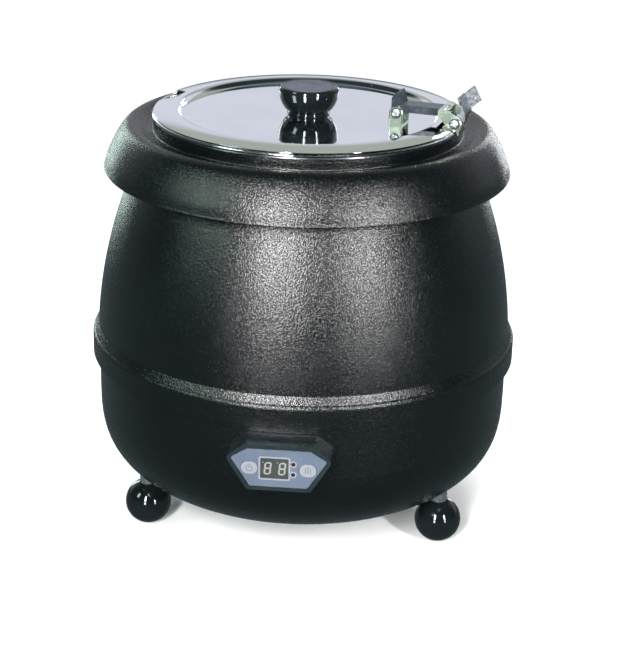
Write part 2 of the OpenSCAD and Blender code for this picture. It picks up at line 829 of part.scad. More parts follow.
module link_arm() color(dark_steel) on_lid() {
    difference() {
        union() {
            both_sides(concat(
                arc([lid_pin_x, lid_pin_z], 4.4, 180, 300),
                [[lid_pin_x + 7, channel_z], [arm_end_x - 2, channel_z], [arm_end_x, arm_top_z - hinge_sheet],
                [arm_end_x, arm_top_z], [lug_x, arm_top_z], [lug_x - 3, arm_top_z + lug_h],
                [lug_x - 6, arm_top_z + lug_h - 0.8], [arm_back_x, arm_top_z + lug_h / 2]]),
                arm_half - hinge_sheet, arm_half);
            cross_plate([[lug_x - hinge_sheet, arm_top_z - hinge_sheet], [arm_end_x, arm_top_z - hinge_sheet],
                [arm_end_x, arm_top_z], [lug_x - hinge_sheet, arm_top_z]], arm_half);
            // upturned lug
            cross_plate([[lug_x - hinge_sheet, arm_top_z - hinge_sheet], [lug_x, arm_top_z - hinge_sheet],
                [lug_x - 3, arm_top_z + lug_h], [lug_x - 3 - hinge_sheet, arm_top_z + lug_h]], arm_half);
            // tongue stepped down under the clevis
            cross_plate([[arm_end_x - 2, arm_top_z - 2 * hinge_sheet], [web_end_x, arm_top_z - 2 * hinge_sheet],
                [web_end_x, arm_top_z - hinge_sheet], [arm_end_x - 2, arm_top_z - hinge_sheet]], arm_half);
        }
        pin_y(lid_pin_x, lid_pin_z, pin_r + pin_fit, -30, 30);
        rivet_places() disc(rivet_r, arm_top_z - 5, 6);
    }
}

rivet_r = 1.2;

module rivet_places() {
    for (s = [-1, 1]) translate([(arm_end_x + web_end_x) / 2, s * arm_half / 2, 0]) children();
}

module arm_clevis() color(steel) on_lid() {
    difference() {
        union() {
            both_sides(concat(
                [[arm_end_x, arm_top_z], [arm_end_x, arm_top_z - 4]],
                arc([clip_pin_x, clip_pin_z], clevis_r, 215, 410, 16),
                [[web_end_x + 0.6, arm_top_z]]),
                clevis_in, clip_half);
            translate([arm_end_x, -clip_half, arm_top_z - hinge_sheet])
                cube([web_end_x - arm_end_x, 2 * clip_half, hinge_sheet]);
        }
        pin_y(clip_pin_x, clip_pin_z, pin_r + pin_fit, -30, 30);
        eyes(clip_pin_x, clip_pin_z, clip_half);
        rivet_places() disc(rivet_r, arm_top_z - 5, 6);
    }
}

module arm_rivets() color(zinc) on_lid() {
    rivet_places() {
        disc(rivet_r, arm_top_z - 2 * hinge_sheet, 2 * hinge_sheet);
        disc(2.1, arm_top_z, 0.7);
        disc(2.1, arm_top_z - 2 * hinge_sheet - 0.7, 0.7);
    }
}

lid_ear_out = lid_ear_in + hinge_sheet;

module lid_pin() color(steel) on_lid() {
    pin_y(lid_pin_x, lid_pin_z, pin_r, -lid_ear_out + eye_h - pin_over, lid_ear_out - eye_h + pin_over);
}

module lid_bracket() color(steel) on_lid() {
    difference() {
        union() {
            both_sides(concat(
                [[lid_pin_x - ear_w / 2, lid_flat_z], [lid_pin_x + ear_w / 2, lid_flat_z]],
                arc([lid_pin_x, lid_pin_z], ear_w / 2, 0, 180, 12)),
                lid_ear_in, lid_ear_out);
            translate([lid_pin_x - ear_w / 2, -lid_ear_out, lid_flat_z])
                cube([ear_w, 2 * lid_ear_out, hinge_sheet]);
        }
        pin_y(lid_pin_x, lid_pin_z, pin_r, -30, 30);
        eyes(lid_pin_x, lid_pin_z, lid_ear_out);
        lid_rivet_places() disc(rivet_r, lid_flat_z - 5, 10);
    }
}

module lid_rivet_places() {
    for (s = [-1, 1]) translate([lid_pin_x, s * lid_ear_in / 2, 0]) children();
}

module lid_rivets() color(zinc) on_lid() {
    lid_rivet_places() {
        disc(rivet_r, lid_flat_z - lid_sheet, lid_sheet + hinge_sheet);
        disc(2.1, lid_flat_z + hinge_sheet, 0.6);
        disc(2.1, lid_flat_z - lid_sheet - 0.7, 0.7);
    }
}

// ---------- lid ----------

// Top of the lid from its middle out: flat, then a raised ring that falls to the hem
lid_path = concat(
    [[0, lid_flat_z]],
    arc([lid_flat_r, lid_flat_z + 1.6], 1.6, -90, -25, 4),
    arc([lid_flat_r + 7, lid_crown_z - 4], 4, 150, 95, 5),
    [[lid_r - 9, lid_crown_z - 0.1], [lid_r - 4, lid_crown_z - 0.6], [lid_r, lid_z + lid_hem]]);

module lid() color(steel) on_lid() {
    difference() {
        union() {
            spun_sheet(lid_path, -lid_sheet);
            ring(lid_r - 3, lid_r, lid_z, lid_hem);
        }
        disc(screw_bore_r, lid_flat_z - 5, 10);
        lid_rivet_places() disc(rivet_r, lid_flat_z - 5, 10);
        // ladle notch
        translate([0, 0, lid_z - 10]) linear_extrude(20) polygon(rounded([
            [-lid_r + notch_depth, -notch_w / 2], [-lid_r + notch_depth, notch_w / 2],
            [-lid_r - 5, notch_w], [-lid_r - 5, -notch_w]], 3));
        // relief round the clip
        translate([relief_x, -relief_half, lid_z - 10]) cube([40, 2 * relief_half, 20]);
    }
}

screw_bore_r = 2.5;
knob_neck_r = knob_r - 8;
knob_neck_h = 6;
knob_cap_r = knob_r - 4;
knob_top_z = knob_z + knob_h;

module lid_knob() color(gloss_black) {
    difference() {
        rotate_extrude() polygon(concat(
            [[0, knob_z], [knob_neck_r + 0.8, knob_z]],
            arc([knob_neck_r + 2.4, knob_z + 3.4], 2.6, 250, 140, 6),
            arc([knob_r - 9, knob_z + knob_neck_h + 9], 9, -55, 20, 10),
            [[knob_r - 0.9, knob_top_z - 4.6]],
            arc([knob_r - 2, knob_top_z - 2], 2, -40, 80, 6),
            [[0, knob_top_z]]));
        disc(knob_cap_r, knob_top_z - 1.2, 2);
        disc(screw_bore_r, knob_z - 1, knob_h - 5);
    }
}

module knob_cap() color([0.5, 0.5, 0.55]) {
    disc(knob_cap_r, knob_top_z - 1.2, 1);
}

washer_h = 1;
washer_z = lid_flat_z - lid_sheet - washer_h;

module knob_washer() color(zinc) {
    ring(screw_bore_r, 7, washer_z, washer_h);
}

module knob_screw() color(zinc) {
    disc(screw_bore_r, washer_z, lid_flat_z - washer_z + 14);
    difference() {
        disc(4.6, washer_z - 3, 3);
        translate([-5, -0.6, washer_z - 4]) cube([10, 1.2, 2]);
    }
}

barrel_shell();
lower_bowl();
top_collar();
base_cover();
cover_screws();
foot_front_left();
foot_front_right();
foot_back();
foot_bolts();
foot_spacers();
foot_backing_washers();
foot_nuts();
water_pan();
heat_plate();
heating_element();
element_clamp();
clamp_nut();
thermal_cutout();
temperature_probe();
probe_clip();
terminal_block();
earth_screw();
internal_leads();
cord_gland();
gland_nut();
panel_box();
panel_gasket();
panel_screws();
panel_overlay();
control_board();
tact_switches();
power_relay();
display_module();
display_digits();
display_window();
heat_led();
keep_led();
power_button();
set_button();
soup_pot();
clip_bracket();
clip_finger();
clip_spring();
clip_pin();
link_arm();
arm_clevis();
arm_rivets();
lid_pin();
lid_bracket();
lid_rivets();
lid();
lid_knob();
knob_cap();
knob_screw();
knob_washer();
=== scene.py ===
"""Looks of the soup kettle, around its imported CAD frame. Metres, Z up, panel towards -Y."""
import math

import bpy
import bmesh
from mathutils import Matrix, Vector


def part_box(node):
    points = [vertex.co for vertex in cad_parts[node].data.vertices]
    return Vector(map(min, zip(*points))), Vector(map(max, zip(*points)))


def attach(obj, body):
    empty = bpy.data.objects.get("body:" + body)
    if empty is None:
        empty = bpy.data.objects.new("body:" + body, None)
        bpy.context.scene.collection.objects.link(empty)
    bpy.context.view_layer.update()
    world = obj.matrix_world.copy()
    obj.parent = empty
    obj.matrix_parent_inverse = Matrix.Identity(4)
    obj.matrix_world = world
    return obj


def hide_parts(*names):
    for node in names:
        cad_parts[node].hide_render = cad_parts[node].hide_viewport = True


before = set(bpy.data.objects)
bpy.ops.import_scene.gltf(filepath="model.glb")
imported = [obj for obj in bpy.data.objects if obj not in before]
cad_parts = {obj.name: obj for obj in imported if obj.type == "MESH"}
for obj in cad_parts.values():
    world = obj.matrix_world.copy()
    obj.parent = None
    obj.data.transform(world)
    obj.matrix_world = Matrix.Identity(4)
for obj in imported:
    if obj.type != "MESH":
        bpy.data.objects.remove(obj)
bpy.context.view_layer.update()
scene = bpy.context.scene
scene.view_settings.view_transform = "Standard"
MM = 0.001


# ---------- material kit ----------

def principled(m):
    return m.node_tree.nodes["Principled BSDF"]


def material(name, color, rough, metal=0.0):
    """A Principled material with its uniform values set on the shader's own sockets."""
    m = bpy.data.materials.new(name)
    m.use_nodes = True
    shader = principled(m)
    shader.inputs["Base Color"].default_value = (*color, 1)
    shader.inputs["Roughness"].default_value = rough
    shader.inputs["Metallic"].default_value = metal
    return m


def coords(m, stretch=(1, 1, 1)):
    tree = m.node_tree
    found = tree.nodes.new("ShaderNodeTexCoord")
    mapping = tree.nodes.new("ShaderNodeMapping")
    mapping.inputs["Scale"].default_value = stretch
    tree.links.new(found.outputs["Object"], mapping.inputs["Vector"])
    return mapping.outputs["Vector"]


def noise(m, size, detail, stretch=(1, 1, 1)):
    """Noise whose lumps are about size metres across."""
    tree = m.node_tree
    node = tree.nodes.new("ShaderNodeTexNoise")
    node.inputs["Scale"].default_value = 1 / size
    node.inputs["Detail"].default_value = detail
    tree.links.new(coords(m, stretch), node.inputs["Vector"])
    return node.outputs["Fac"]


def cells(m, size):
    """Rounded pebbles about size metres across."""
    tree = m.node_tree
    node = tree.nodes.new("ShaderNodeTexVoronoi")
    node.feature = "SMOOTH_F1"
    node.inputs["Scale"].default_value = 1 / size
    node.inputs["Smoothness"].default_value = 0.6
    tree.links.new(coords(m), node.inputs["Vector"])
    return node.outputs["Distance"]


def spread(m, value, low, high, start=0.3, end=0.7):
    """Maps the start to end part of a pattern onto low to high."""
    tree = m.node_tree
    node = tree.nodes.new("ShaderNodeMapRange")
    node.inputs["From Min"].default_value = start
    node.inputs["From Max"].default_value = end
    node.inputs["To Min"].default_value = low
    node.inputs["To Max"].default_value = high
    tree.links.new(value, node.inputs["Value"])
    return node.outputs["Result"]


def tint(m, value, low, high):
    """Colours the base between two shades by a pattern."""
    tree = m.node_tree
    ramp = tree.nodes.new("ShaderNodeValToRGB")
    for stop, position, shade in zip(ramp.color_ramp.elements, (0.35, 0.65), (low, high)):
        stop.position = position
        stop.color = (*shade, 1)
    tree.links.new(value, ramp.inputs["Fac"])
    tree.links.new(ramp.outputs["Color"], principled(m).inputs["Base Color"])


def roughen(m, value):
    m.node_tree.links.new(value, principled(m).inputs["Roughness"])


def add(m, a, b, share):
    """Pattern a with a share of pattern b on top."""
    node = m.node_tree.nodes.new("ShaderNodeMath")
    node.operation = "MULTIPLY_ADD"
    m.node_tree.links.new(b, node.inputs[0])
    node.inputs[1].default_value = share
    m.node_tree.links.new(a, node.inputs[2])
    return node.outputs[0]


def bump(m, value, height):
    """Relief of about height metres from a 0 to 1 pattern."""
    tree = m.node_tree
    node = tree.nodes.new("ShaderNodeBump")
    node.inputs["Strength"].default_value = 1.0
    node.inputs["Distance"].default_value = height
    tree.links.new(value, node.inputs["Height"])
    tree.links.new(node.outputs["Normal"], principled(m).inputs["Normal"])


def powder_coat():
    """Black coat with a fine pebbled relief."""
    m = material("powder_coat", (0.003, 0.005, 0.006), 0.30)
    tint(m, noise(m, 0.06, 3), (0.0007, 0.0015, 0.0018), (0.0013, 0.0024, 0.0028))
    roughen(m, spread(m, noise(m, 0.0012, 3), 0.20, 0.29))
    bump(m, add(m, cells(m, 0.0012), noise(m, 0.0008, 2), 0.7), 0.00023)
    return m


def smooth_plastic(name, low, high, rough, grain=0.0009, relief=0.00001):
    """Plastic, paint, glaze or print: a cloud of two shades, and a grain about that many metres across."""
    m = material(name, low, rough)
    tint(m, noise(m, 0.02, 3), low, high)
    roughen(m, spread(m, noise(m, 0.006, 4), rough * 0.8, rough * 1.3))
    bump(m, noise(m, grain, 2), relief)
    return m


def steel(name, low, high, rough, stretch=(1, 1, 1), relief=0.000004, size=0.0012, metal=1.0):
    """Bare metal, with its grain drawn out by the stretch."""
    m = material(name, low, rough, metal)
    tint(m, noise(m, 0.03, 3), low, high)
    roughen(m, spread(m, noise(m, 0.004, 4, stretch), rough * 0.7, rough * 1.4))
    bump(m, noise(m, size, 3, stretch), relief)
    return m


def turned_steel(name, low, high, rough, relief):
    """Sheet polished round the Z axis: fine rings, and a faint cloud."""
    m = material(name, low, rough, 1.0)
    tint(m, noise(m, 0.05, 3), low, high)
    tree = m.node_tree
    wave = tree.nodes.new("ShaderNodeTexWave")
    wave.wave_type = "RINGS"
    wave.rings_direction = "Z"
    wave.inputs["Scale"].default_value = 260
    wave.inputs["Distortion"].default_value = 3
    wave.inputs["Detail"].default_value = 3
    wave.inputs["Detail Scale"].default_value = 1.5
    tree.links.new(coords(m), wave.inputs["Vector"])
    clouded_rings = add(m, noise(m, 0.02, 4), wave.outputs["Fac"], 0.3)
    roughen(m, spread(m, clouded_rings, rough * 0.7, rough * 1.5, 0.3, 0.9))
    bump(m, wave.outputs["Fac"], relief)
    return m


# darker shade, lighter shade, roughness, and where they matter the grain and the relief
PLASTICS = {
    "gloss_black": ((0.0035, 0.005, 0.006), (0.006, 0.008, 0.009), 0.06),
    "bezel_black": ((0.008, 0.013, 0.015), (0.013, 0.019, 0.021), 0.22, 0.0012, 0.00001),
    "arm_steel": ((0.014, 0.019, 0.025), (0.020, 0.026, 0.033), 0.24),
    "ceramic": ((0.50, 0.48, 0.44), (0.58, 0.56, 0.52), 0.35, 0.0009, 0.00004),
    "wire": ((0.20, 0.21, 0.22), (0.30, 0.31, 0.32), 0.45, 0.0012, 0.00002),
    "seal": ((0.008, 0.008, 0.009), (0.014, 0.014, 0.016), 0.7, 0.0006, 0.00003),
    "overlay": ((0.070, 0.090, 0.128), (0.080, 0.101, 0.142), 0.42, 0.0006, 0.000008),
    "circuit_board": ((0.006, 0.050, 0.020), (0.010, 0.07, 0.03), 0.4, 0.002, 0.00002),
    "dark_plastic": ((0.010, 0.010, 0.012), (0.016, 0.016, 0.018), 0.42, 0.0008, 0.00002),
    "relay_blue": ((0.012, 0.06, 0.22), (0.018, 0.08, 0.27), 0.32),
    "digit": ((0.195, 0.190, 0.165), (0.215, 0.210, 0.185), 0.45),
    "window": ((0.022, 0.028, 0.028), (0.028, 0.034, 0.034), 0.4),
    "led_red": ((0.030, 0.006, 0.010), (0.042, 0.009, 0.014), 0.25),
    "led_dark": ((0.008, 0.014, 0.018), (0.012, 0.019, 0.024), 0.25),
    "button_white": ((0.185, 0.195, 0.220), (0.205, 0.215, 0.240), 0.36),
    "cap_grey": ((0.040, 0.042, 0.062), (0.060, 0.063, 0.086), 0.5, 0.0007, 0.00002),
    "print_white": ((0.185, 0.190, 0.205), (0.205, 0.212, 0.228), 0.5),
    "print_grey": ((0.060, 0.065, 0.085), (0.075, 0.080, 0.100), 0.5),
}

# darker shade, lighter shade, roughness, and where they matter the stretch, relief, grain and metalness
METALS = {
    "hinge_steel": ((0.42, 0.51, 0.41), (0.48, 0.57, 0.47), 0.17, (1, 1, 1), 0.0000001, 0.004, 0.75),
    "tab_steel": ((0.22, 0.23, 0.25), (0.28, 0.29, 0.32), 0.32, (1, 1, 1), 0.0000001, 0.004),
    "zinc": ((0.52, 0.54, 0.56), (0.68, 0.69, 0.70), 0.28, (1, 1, 1), 0.000002, 0.003),
    "element": ((0.20, 0.19, 0.18), (0.30, 0.27, 0.24), 0.42),
    "aluminium": ((0.66, 0.67, 0.68), (0.76, 0.77, 0.78), 0.34, (1, 6, 1)),
    "brass": ((0.62, 0.44, 0.16), (0.76, 0.56, 0.24), 0.25),
}

# darker shade, lighter shade, roughness and relief
TURNED_METALS = {
    "polished_steel": ((0.82, 0.83, 0.87), (0.88, 0.89, 0.92), 0.04, 0.0000008),
    "pot_steel": ((0.70, 0.71, 0.73), (0.78, 0.79, 0.81), 0.16, 0.000003),
}

looks = {"textured_coat": powder_coat()}
for make, table in ((smooth_plastic, PLASTICS), (steel, METALS), (turned_steel, TURNED_METALS)):
    for look_name, values in table.items():
        looks[look_name] = make(look_name, *values)

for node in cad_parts.values():
    base = node.data.materials[0].name.split(".")[0]
    node.data.materials[0] = looks[base]


# ---------- piece kit ----------

SHARP = math.radians(35)
ON_AXIS = 1e-7
CURVE_STEPS = 6


def middle(node):
    low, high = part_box(node)
    return (low + high) / 2


def heading(points, i):
    """The unit direction of a line of points as it passes point i."""
    before, after = Vector(points[max(i - 1, 0)]), Vector(points[min(i + 1, len(points) - 1)])
    return (after - before).normalized()


def flowing(points):
    """A smooth curve through points (radius, height), ends included."""
    ends = [points[0], *points, points[-1]]
    out = []
    for i in range(1, len(ends) - 2):
        p0, p1, p2, p3 = (Vector(q) for q in ends[i - 1:i + 3])
        for k in range(CURVE_STEPS):
            t = k / CURVE_STEPS
            square = (2 * p0 - 5 * p1 + 4 * p2 - p3) * t * t
            cube = (3 * p1 - p0 - 3 * p2 + p3) * t ** 3
            out.append(0.5 * (2 * p1 + (p2 - p0) * t + square + cube))
    out.append(Vector(ends[-1]))
    return out


def turned(path, place, steps):
    """A closed outline turned round an axis, where place gives the point in space for an outline point
    (radius, distance along the axis) and an angle. An outline point on the axis becomes one vertex."""
    mesh = bmesh.new()
    rings = []
    for r, d in path:
        count = 1 if r < ON_AXIS else steps
        rings.append([mesh.verts.new(place(r, d, 2 * math.pi * k / steps)) for k in range(count)])
    for one, two in zip(rings, rings[1:] + rings[:1]):
        if len(one) == 1 and len(two) == 1:
            continue
        for k in range(steps):
            n = (k + 1) % steps
            corners = [one[k % len(one)], one[n % len(one)], two[n % len(two)], two[k % len(two)]]
            mesh.faces.new(list(dict.fromkeys(corners)))
    return mesh


def lathe(path, steps):
    """A closed outline (radius, height) turned round the kettle's own axis."""
    return turned(path, lambda r, z, a: (r * math.cos(a), r * math.sin(a), z), steps)


def placed(name, mesh):
    """An object in the scene, made from a finished mesh."""
    data = bpy.data.meshes.new(name)
    mesh.to_mesh(data)
    mesh.free()
    made = bpy.data.objects.new(name, data)
    scene.collection.objects.link(made)
    return made


def new_piece(name, mesh, look, body, sharp=SHARP):
    """A piece that rides a body. Its edges stay crisp where they turn by more than the sharp angle."""
    bmesh.ops.recalc_face_normals(mesh, faces=mesh.faces)
    made = placed(name, mesh)
    made.data.shade_smooth()
    made.data.set_sharp_from_angle(angle=sharp)
    made.data.materials.append(looks[look])
    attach(made, body)
    return made


def cut(piece, cutters):
    """The piece less each cutter, as its own final mesh."""
    for cutter in cutters:
        modifier = piece.modifiers.new("cut", "BOOLEAN")
        modifier.object = cutter
        modifier.solver = "EXACT"
    shown = piece.evaluated_get(bpy.context.evaluated_depsgraph_get())
    final = bpy.data.meshes.new_from_object(shown)
    piece.modifiers.clear()
    old = piece.data
    piece.data = final
    bpy.data.meshes.remove(old)
    for cutter in cutters:
        bpy.data.objects.remove(cutter)
    final.shade_smooth()
    final.set_sharp_from_angle(angle=SHARP)


# ---------- hinge line ----------

pin_in = middle("lid_pin")
pin_out = middle("clip_pin")
TURN = math.atan2(pin_out.y - pin_in.y, pin_out.x - pin_in.x)
ALONG = Vector((math.cos(TURN), math.sin(TURN), 0))
ACROSS = Vector((-math.sin(TURN), math.cos(TURN), 0))
UP = Vector((0, 0, 1))


def prism(name, outline, low, high):
    """An upright prism on an outline (along, across) of the hinge's line."""
    mesh = bmesh.new()
    spin = Matrix.Rotation(TURN, 3, "Z")
    ends = [[mesh.verts.new(spin @ Vector((x, y, z))) for x, y in outline] for z in (low, high)]
    mesh.faces.new(ends[0][::-1])
    mesh.faces.new(ends[1])
    for k in range(len(outline)):
        n = (k + 1) % len(outline)
        mesh.faces.new((ends[0][k], ends[0][n], ends[1][n], ends[1][k]))
    bmesh.ops.recalc_face_normals(mesh, faces=mesh.faces)
    return placed(name, mesh)


# ---------- lid ----------

lid_low, lid_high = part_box("lid")
lid_r = (lid_high.y - lid_low.y) / 2
crown = lid_high.z
sheet = 1.0 * MM
flat_z = lid_low.z + sheet
step_r = lid_r - 23.5 * MM
LID_STEPS = 256
FLAT_RINGS = 6

skin = flowing([
    (step_r - 0.4 * MM, flat_z),
    (step_r + 0.7 * MM, flat_z + 0.12 * MM),
    (step_r + 1.9 * MM, flat_z + 1.4 * MM),
    (step_r + 3.1 * MM, crown - 0.75 * MM),
    (step_r + 4.8 * MM, crown - 0.05 * MM),
    (step_r + 6.4 * MM, crown),
    (lid_r - 12 * MM, crown - 0.30 * MM),
    (lid_r - 8 * MM, crown - 0.72 * MM),
    (lid_r - 4.5 * MM, crown - 1.20 * MM),
    (lid_r - 1.6 * MM, crown - 1.72 * MM),
    (lid_r - 0.35 * MM, crown - 2.05 * MM),
    (lid_r - 0.05 * MM, crown - 2.35 * MM),
    (lid_r - 0.6 * MM, crown - 2.78 * MM),
])
under = [Vector((r - 0.1 * MM, z - sheet)) for r, z in skin if r < lid_r - 3.5 * MM][::-1]
flat = [step_r * k / FLAT_RINGS for k in range(FLAT_RINGS)]
outline = [*[Vector((r, flat_z)) for r in flat], *skin, Vector((lid_r - 3 * MM, crown - 2.75 * MM)), *under,
           *[Vector((r, flat_z - sheet)) for r in flat[::-1]]]
steel_lid = new_piece("steel_lid", lathe(outline, LID_STEPS), "polished_steel", "lid")

# the cut that the clip stands in, and the ladle notch opposite
relief_x = lid_r - 14.5 * MM
relief_half = 17 * MM
relief_end = lid_r + 9 * MM
relief = [(relief_x, -relief_half), (relief_end, -relief_half),
          (relief_end, relief_half), (relief_x, relief_half)]
notch_x = 13.5 * MM - lid_r
notch_half = 12 * MM
notch_side = [(notch_x, 2 * MM - notch_half),
              (notch_x - 2 * MM, -notch_half - 0.6 * MM),
              (-lid_r - 5 * MM, -2 * notch_half)]
notch = notch_side + [(x, -y) for x, y in notch_side[::-1]]
low_z, high_z = lid_low.z - 10 * MM, crown + 10 * MM
cut(steel_lid, [prism("relief_cutter", relief, low_z, high_z), prism("notch_cutter", notch, low_z, high_z)])
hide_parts("lid")

# ---------- collar ----------

collar_low, collar_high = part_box("top_collar")
rim_r = (collar_high.x - collar_low.x) / 2
neck_out = rim_r - 40.6 * MM
coat = 1.2 * MM
foot_z = collar_low.z
tall = collar_high.z - foot_z
COLLAR_STEPS = 256

outer = flowing([
    (rim_r - 0.9 * MM, foot_z + 0.1 * MM),
    (rim_r - 0.15 * MM, foot_z + 1.0 * MM),
    (rim_r - 0.7 * MM, foot_z + 2.6 * MM),
    (rim_r - 2.6 * MM, foot_z + 0.23 * tall),
    (rim_r - 6.3 * MM, foot_z + 0.43 * tall),
    (rim_r - 10.4 * MM, foot_z + 0.62 * tall),
    (rim_r - 14.4 * MM, foot_z + 0.765 * tall),
    (rim_r - 17.6 * MM, foot_z + 0.845 * tall),
    (rim_r - 21.0 * MM, foot_z + 0.885 * tall),
    (rim_r - 24.6 * MM, foot_z + 0.885 * tall),
    (rim_r - 29.0 * MM, foot_z + 0.850 * tall),
    (rim_r - 33.6 * MM, foot_z + 0.795 * tall),
    (neck_out + 2.4 * MM, foot_z + 0.768 * tall),
    (neck_out + 0.6 * MM, foot_z + 0.778 * tall),
    (neck_out + 0.05 * MM, foot_z + 0.82 * tall),
    (neck_out, foot_z + 0.93 * tall),
    (neck_out, collar_high.z),
])
inner = []
for i, here in enumerate(outer):
    along = heading(outer, i)
    inner.append(here - coat * Vector((along.y, -along.x)))
collar_mesh = lathe([*outer, *inner[::-1]], COLLAR_STEPS)
collar = new_piece("spun_collar", collar_mesh, "textured_coat", "root")
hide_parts("top_collar")

# ---------- knob ----------

knob_low, knob_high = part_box("lid_knob")
knob_r = (knob_high.x - knob_low.x) / 2
knob_h = knob_high.z - knob_low.z
cap_low, cap_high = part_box("knob_cap")
cap_r = (cap_high.x - cap_low.x) / 2
neck_r = knob_r - 8 * MM
bore_r = neck_r - 4 * MM
bore_z = knob_low.z + 8 * MM
KNOB_STEPS = 160


def up(share):
    return knob_low.z + share * knob_h


outside = flowing([
    (neck_r + 0.6 * MM, up(0)),
    (neck_r + 1.0 * MM, up(0.03)),
    (neck_r + 0.3 * MM, up(0.055)),
    (neck_r, up(0.08)),
    (neck_r + 0.1 * MM, up(0.115)),
    (neck_r + 0.9 * MM, up(0.145)),
    (knob_r - 5.6 * MM, up(0.19)),
    (knob_r - 4.6 * MM, up(0.24)),
    (knob_r - 3.3 * MM, up(0.33)),
    (knob_r - 2.0 * MM, up(0.44)),
    (knob_r - 0.9 * MM, up(0.58)),
    (knob_r - 0.25 * MM, up(0.74)),
    (knob_r, up(0.87)),
    (knob_r - 0.4 * MM, up(0.95)),
    (knob_r - 1.4 * MM, up(0.995)),
    (cap_r + 1.0 * MM, up(0.99)),
    (cap_r + 0.15 * MM, cap_high.z - 0.3 * MM),
])
knob_outline = [Vector((0, bore_z)), Vector((bore_r, bore_z)), Vector((bore_r, knob_low.z)),
                *outside, Vector((cap_r + 0.1 * MM, cap_low.z)), Vector((0, cap_low.z))]
knob_mesh = lathe(knob_outline, KNOB_STEPS)
knob = new_piece("moulded_knob", knob_mesh, "gloss_black", "lid", math.radians(50))
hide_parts("lid_knob")

# ---------- panel print ----------

PANEL_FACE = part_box("panel_overlay")[0].y
PRINT = 0.06 * MM
CORNER_STEPS = 6


def printed(name, loops, look, body, face=PANEL_FACE):
    """Thin print on a front face. Each loop pair (outer, inner) in x, z is a band, or a filled patch where
    inner is None."""
    mesh = bmesh.new()
    front = face - PRINT
    back = front + PRINT * 1.6
    for outer, inner in loops:
        layers = []
        for y in (front, back):
            layers.append([[mesh.verts.new((x, y, z)) for x, z in loop] for loop in (outer, inner) if loop])
        count = len(outer)
        for k in range(count):
            n = (k + 1) % count
            for near, far in zip(*layers):
                mesh.faces.new((near[k], near[n], far[n], far[k]))
            if inner:
                for layer in layers:
                    mesh.faces.new((layer[0][k], layer[0][n], layer[1][n], layer[1][k]))
        if not inner:
            for layer in layers:
                mesh.faces.new(layer[0])
    return new_piece(name, mesh, look, body, math.radians(30))


def arc(x, z, r, start, end, count):
    """Points on a round line from one angle in radians to another, both ends included."""
    angles = [start + (end - start) * k / (count - 1) for k in range(count)]
    return [(x + r * math.cos(a), z + r * math.sin(a)) for a in angles]


def circle(x, z, r, steps=40):
    return arc(x, z, r, 0, 2 * math.pi, steps + 1)[:-1]


def round_box(x, z, half_w, half_h, r):
    out = []
    for sx, sz, a in ((1, 1, 0), (-1, 1, 90), (-1, -1, 180), (1, -1, 270)):
        for k in range(CORNER_STEPS + 1):
            t = math.radians(a + 90 * k / CORNER_STEPS)
            out.append((x + sx * (half_w - r) + r * math.cos(t), z + sz * (half_h - r) + r * math.sin(t)))
    return out


def stroke(points, width):
    """A band of even width along a line, as one loop."""
    left, right = [], []
    for i, p in enumerate(points):
        d = heading(points, i)
        side = Vector((-d.y, d.x)) * width / 2
        left.append(tuple(Vector(p) + side))
        right.append(tuple(Vector(p) - side))
    return left + right[::-1]


window = middle("display_window")
window_low, window_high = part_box("display_window")
half_w = (window_high.x - window_low.x) / 2
half_h = (window_high.z - window_low.z) / 2
border = [round_box(window.x, window.z, half_w + edge * MM, half_h + edge * MM, corner * MM)
          for edge, corner in ((1.5, 1.6), (0.3, 0.8))]
printed("window_border", [border], "print_white", "root")
for lamp in ("heat_led", "keep_led"):
    spot = middle(lamp)
    band = [circle(spot.x, spot.z, r * MM) for r in (2.7, 1.75)]
    printed(lamp + "_ring", [band], "print_white", "root")

DIGIT_W = 5.6 * MM
DIGIT_H = 10.6 * MM
BAR = 1.35 * MM
DOT_R = 0.5 * MM
LEAN = 0.10


def bar_loop(x, z, length, upright, shift_x, shift_z):
    """One bar of a digit, with its pointed ends, leaning with the digit."""
    half, thick = length / 2, BAR / 2
    shape = [(-half, 0), (-half + thick, thick), (half - thick, thick),
             (half, 0), (half - thick, -thick), (-half + thick, -thick)]
    if upright:
        shape = [(-b, a) for a, b in shape]
    return [(x + shift_x + a + LEAN * (shift_z + b), z + shift_z + b) for a, b in shape]


def digit_loops(x, z):
    """Seven bars, and a small dot at the upper left."""
    wide = DIGIT_W / 2 - BAR / 2
    tall = DIGIT_H / 4 - BAR / 4
    loops = [bar_loop(x, z, 2 * wide, False, 0, k * 2 * tall) for k in (-1, 0, 1)]
    loops += [bar_loop(x, z, 2 * tall, True, side * wide, k * tall) for side in (-1, 1) for k in (-1, 1)]
    loops.append(circle(x - DIGIT_W * 0.66, z + DIGIT_H * 0.46, DOT_R, 12))
    return [(loop, None) for loop in loops]


both = digit_loops(window.x - half_w * 0.48, window.z) + digit_loops(window.x + half_w * 0.56, window.z)
digits = printed("digit_bars", both, "digit", "root", face=window_low.y)
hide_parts("display_digits")

power = middle("power_button")
power_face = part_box("power_button")[0].y
power_line = 0.5 * MM
ring = arc(power.x, power.z - 0.3 * MM, 2.4 * MM, math.radians(120), math.radians(420), 25)
stem = [(power.x, power.z + rise * MM) for rise in (-0.2, 1.2, 3.0)]
printed("power_mark", [(stroke(ring, power_line), None), (stroke(stem, power_line), None)],
        "print_grey", "power_button", face=power_face)

